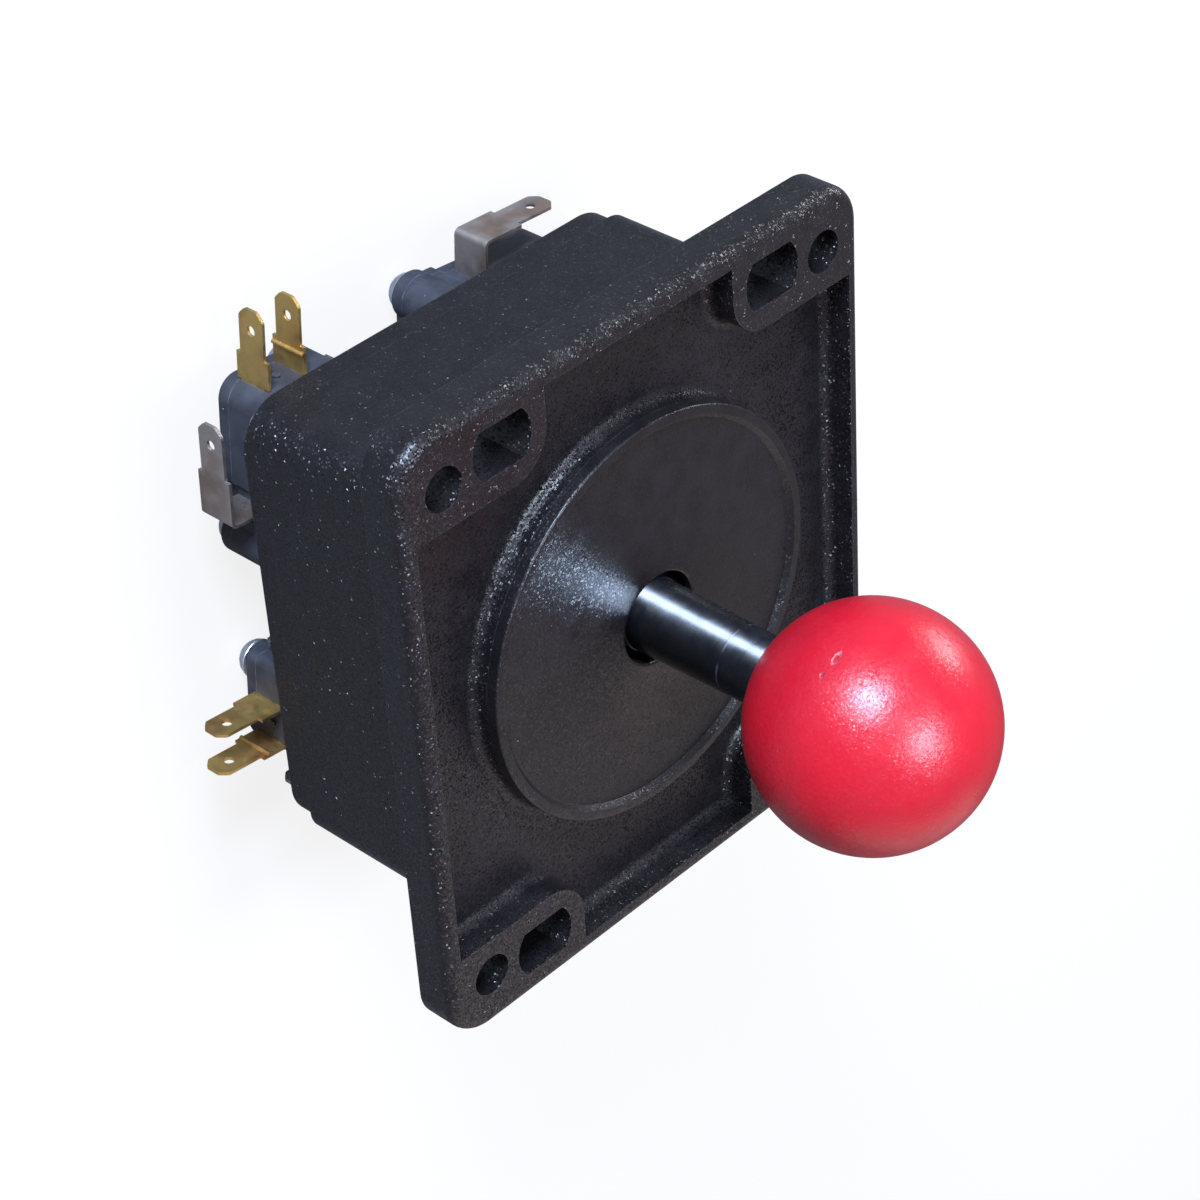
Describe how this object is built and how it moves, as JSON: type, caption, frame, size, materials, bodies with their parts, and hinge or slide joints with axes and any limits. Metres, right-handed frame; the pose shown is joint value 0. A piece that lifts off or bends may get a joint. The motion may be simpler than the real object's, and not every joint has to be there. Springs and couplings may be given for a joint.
{
  "type": "panel joystick",
  "caption": "Panel joystick: ball knob on a sleeved shaft in a spherical pivot, sprung to centre, with a square gate and lever switches behind a bolt-on moulded flange.",
  "frame": {"origin": "centre of the panel bolt pattern, on the plane of the flange rim that rests against the panel", "axes": "+Z along the lever towards the knob, +X along the flange's shorter side, +Y along its longer side"},
  "size_m": [0.09, 0.101, 0.1133],
  "materials": {
    "housing_plastic": "moulded, fine grain",
    "cover_plastic": "moulded, fine grain",
    "plate_plastic": "moulded, fine grain",
    "knob_plastic": "semi-gloss with an orange-peel surface",
    "sleeve_plastic": "polished",
    "shaft_steel": "ground",
    "ball_steel": "ground, blackened and greased",
    "liner_plastic": "black acetal, greased",
    "seat_plastic": "moulded",
    "spring_steel": "drawn wire",
    "actuator_plastic": "natural acetal",
    "washer_steel": "pressed",
    "clip_steel": "dark hardened",
    "screw_zinc": "bright zinc",
    "switch_plastic": "dark blue-grey, fine matt",
    "switch_cover_plastic": "dark blue-grey, fine matt",
    "plunger_plastic": "smooth",
    "lever_steel": "rolled strip",
    "blade_copper": "rolled strip",
    "terminal_brass": "slightly tarnished",
    "terminal_tin": "dull tin plate"
  },
  "bodies": {
    "housing": {"housing": "housing_plastic", "dust_cover": "cover_plastic", "rear_plate": "plate_plastic", "plate_screws": "screw_zinc", "centring_spring": "spring_steel", "switch_screws": "screw_zinc", "left_switch_case": "switch_plastic", "left_switch_cover": "switch_cover_plastic", "left_switch_common_terminal": "terminal_tin", "left_switch_open_terminal": "terminal_brass", "left_switch_closed_terminal": "terminal_brass", "top_switch_case": "switch_plastic", "top_switch_cover": "switch_cover_plastic", "top_switch_common_terminal": "terminal_tin", "top_switch_open_terminal": "terminal_brass", "top_switch_closed_terminal": "terminal_brass", "right_switch_case": "switch_plastic", "right_switch_cover": "switch_cover_plastic", "right_switch_common_terminal": "terminal_tin", "right_switch_open_terminal": "terminal_brass", "right_switch_closed_terminal": "terminal_brass", "bottom_switch_case": "switch_plastic", "bottom_switch_cover": "switch_cover_plastic", "bottom_switch_common_terminal": "terminal_tin", "bottom_switch_open_terminal": "terminal_brass", "bottom_switch_closed_terminal": "terminal_brass"},
    "pivot_liner": {"pivot_liner": "liner_plastic"},
    "stick": {"pivot_ball": "ball_steel", "shaft": "shaft_steel", "shaft_sleeve": "sleeve_plastic", "ball_knob": "knob_plastic", "spring_seat": "seat_plastic", "actuator": "actuator_plastic", "actuator_washer": "washer_steel", "actuator_clip": "clip_steel"},
    "left_lever": {"left_switch_lever": "lever_steel"},
    "left_plunger": {"left_switch_plunger": "plunger_plastic", "left_switch_blade": "blade_copper"},
    "top_lever": {"top_switch_lever": "lever_steel"},
    "top_plunger": {"top_switch_plunger": "plunger_plastic", "top_switch_blade": "blade_copper"},
    "right_lever": {"right_switch_lever": "lever_steel"},
    "right_plunger": {"right_switch_plunger": "plunger_plastic", "right_switch_blade": "blade_copper"},
    "bottom_lever": {"bottom_switch_lever": "lever_steel"},
    "bottom_plunger": {"bottom_switch_plunger": "plunger_plastic", "bottom_switch_blade": "blade_copper"}
  },
  "joints": [
    {"name": "tilt_x", "type": "hinge", "parent": "housing", "child": "pivot_liner", "pos_m": [0, 0, -0.0065], "axis": [1, 0, 0], "range_deg": [-6.5, 6.5], "stiffness_Nm_per_rad": 0.8, "deforming": ["centring_spring"]},
    {"name": "tilt_y", "type": "hinge", "parent": "pivot_liner", "child": "stick", "pos_m": [0, 0, -0.0065], "axis": [0, 1, 0], "range_deg": [-6.5, 6.5], "stiffness_Nm_per_rad": 0.8, "deforming": ["centring_spring"]},
    {"name": "left_lever_hinge", "type": "hinge", "parent": "housing", "child": "left_lever", "pos_m": [-0.01272, 0.02797, -0.04885], "axis": [0, 0, 1], "range_deg": [-5.6, 5.6]},
    {"name": "left_plunger_slide", "type": "slide", "parent": "housing", "child": "left_plunger", "axis": [0.9954, -0.0958, 0], "range_m": [-0.00142, 0.00142]},
    {"name": "top_lever_hinge", "type": "hinge", "parent": "housing", "child": "top_lever", "pos_m": [0.02797, 0.01272, -0.04885], "axis": [0, 0, 1], "range_deg": [-5.6, 5.6]},
    {"name": "top_plunger_slide", "type": "slide", "parent": "housing", "child": "top_plunger", "axis": [-0.0958, -0.9954, 0], "range_m": [-0.00142, 0.00142]},
    {"name": "right_lever_hinge", "type": "hinge", "parent": "housing", "child": "right_lever", "pos_m": [0.01272, -0.02797, -0.04885], "axis": [0, 0, 1], "range_deg": [-5.6, 5.6]},
    {"name": "right_plunger_slide", "type": "slide", "parent": "housing", "child": "right_plunger", "axis": [-0.9954, 0.0958, 0], "range_m": [-0.00142, 0.00142]},
    {"name": "bottom_lever_hinge", "type": "hinge", "parent": "housing", "child": "bottom_lever", "pos_m": [-0.02797, -0.01272, -0.04885], "axis": [0, 0, 1], "range_deg": [-5.6, 5.6]},
    {"name": "bottom_plunger_slide", "type": "slide", "parent": "housing", "child": "bottom_plunger", "axis": [0.0958, 0.9954, 0], "range_m": [-0.00142, 0.00142]}
  ],
  "couplings": [
    {"joint": "left_lever_hinge", "follows": "tilt_y", "ratio": -0.84615},
    {"joint": "left_plunger_slide", "follows": "tilt_y", "m_per_rad": -0.012429},
    {"joint": "top_lever_hinge", "follows": "tilt_x", "ratio": -0.84615},
    {"joint": "top_plunger_slide", "follows": "tilt_x", "m_per_rad": -0.012429},
    {"joint": "right_lever_hinge", "follows": "tilt_y", "ratio": 0.84615},
    {"joint": "right_plunger_slide", "follows": "tilt_y", "m_per_rad": 0.012429},
    {"joint": "bottom_lever_hinge", "follows": "tilt_x", "ratio": 0.84615},
    {"joint": "bottom_plunger_slide", "follows": "tilt_x", "m_per_rad": 0.012429}
  ]
}
